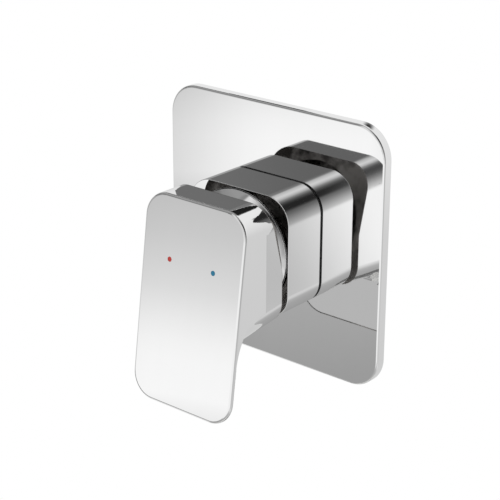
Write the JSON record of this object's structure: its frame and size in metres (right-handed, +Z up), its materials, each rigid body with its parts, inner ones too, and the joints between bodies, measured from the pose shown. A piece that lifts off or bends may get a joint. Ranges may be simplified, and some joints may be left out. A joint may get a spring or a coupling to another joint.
{
  "type": "shower mixer",
  "caption": "Concealed single-lever shower mixer: square chromed faceplate, sleeve and hanging paddle lever on a brass in-wall valve body with a ceramic disc cartridge.",
  "frame": {"origin": "on the valve axis, at the plane of the finished wall that the faceplate's rim bears on", "axes": "+Y along the valve axis into the wall, so the handle faces -Y; +X to the user's right; +Z up"},
  "size_m": [0.12, 0.104, 0.1242],
  "materials": {
    "chrome": "polished",
    "cap_chrome": "chromed plastic",
    "foam": "closed-cell foam",
    "black_rubber": "moulded",
    "brass": "as cast and turned",
    "steel": "bright",
    "white_plastic": "moulded",
    "grey_plastic": "moulded",
    "ceramic": "lapped",
    "check_plastic": "moulded",
    "red_enamel": "enamel",
    "blue_enamel": "enamel"
  },
  "bodies": {
    "valve": {"faceplate": "chrome", "wall_gasket": "foam", "neck_o_ring": "black_rubber", "sleeve": "chrome", "sleeve_seal": "black_rubber", "dome_cover": "chrome", "cartridge_housing": "white_plastic", "fixed_disc": "ceramic", "disc_seals": "black_rubber", "cartridge_base": "white_plastic", "base_seals": "black_rubber", "retaining_nut": "brass", "valve_body": "brass", "hot_check_housing": "check_plastic", "cold_check_housing": "check_plastic", "hot_check_spring": "steel", "cold_check_spring": "steel"},
    "rotor": {"rotor": "grey_plastic", "lever_pin": "steel"},
    "lever": {"handle": "chrome", "lever_spindle": "steel", "hot_mark": "red_enamel", "cold_mark": "blue_enamel", "grub_screw": "steel", "screw_cap": "cap_chrome"},
    "disc": {"disc_carrier": "grey_plastic", "moving_disc": "ceramic"},
    "hot_poppet": {"hot_check_poppet": "check_plastic"},
    "cold_poppet": {"cold_check_poppet": "check_plastic"}
  },
  "joints": [
    {"name": "temperature_turn", "type": "hinge", "parent": "valve", "child": "rotor", "pos_m": [0, -0.017, 0], "axis": [0, -1, 0], "range_deg": [-45, 45]},
    {"name": "lever_lift", "type": "hinge", "parent": "rotor", "child": "lever", "pos_m": [0, -0.017, 0], "axis": [-1, 0, 0], "range_deg": [0, 20]},
    {"name": "disc_slide", "type": "slide", "parent": "rotor", "child": "disc", "axis": [0, 0, -1], "range_m": [0, 0.0032]},
    {"name": "hot_check", "type": "slide", "parent": "valve", "child": "hot_poppet", "axis": [1, 0, 0], "range_m": [0, 0.0025], "stiffness_N_per_m": 150, "springref_m": -0.002, "deforming": ["hot_check_spring"]},
    {"name": "cold_check", "type": "slide", "parent": "valve", "child": "cold_poppet", "axis": [-1, 0, 0], "range_m": [0, 0.0025], "stiffness_N_per_m": 150, "springref_m": -0.002, "deforming": ["cold_check_spring"]}
  ],
  "couplings": [
    {"joint": "disc_slide", "follows": "lever_lift", "m_per_rad": 0.009}
  ]
}
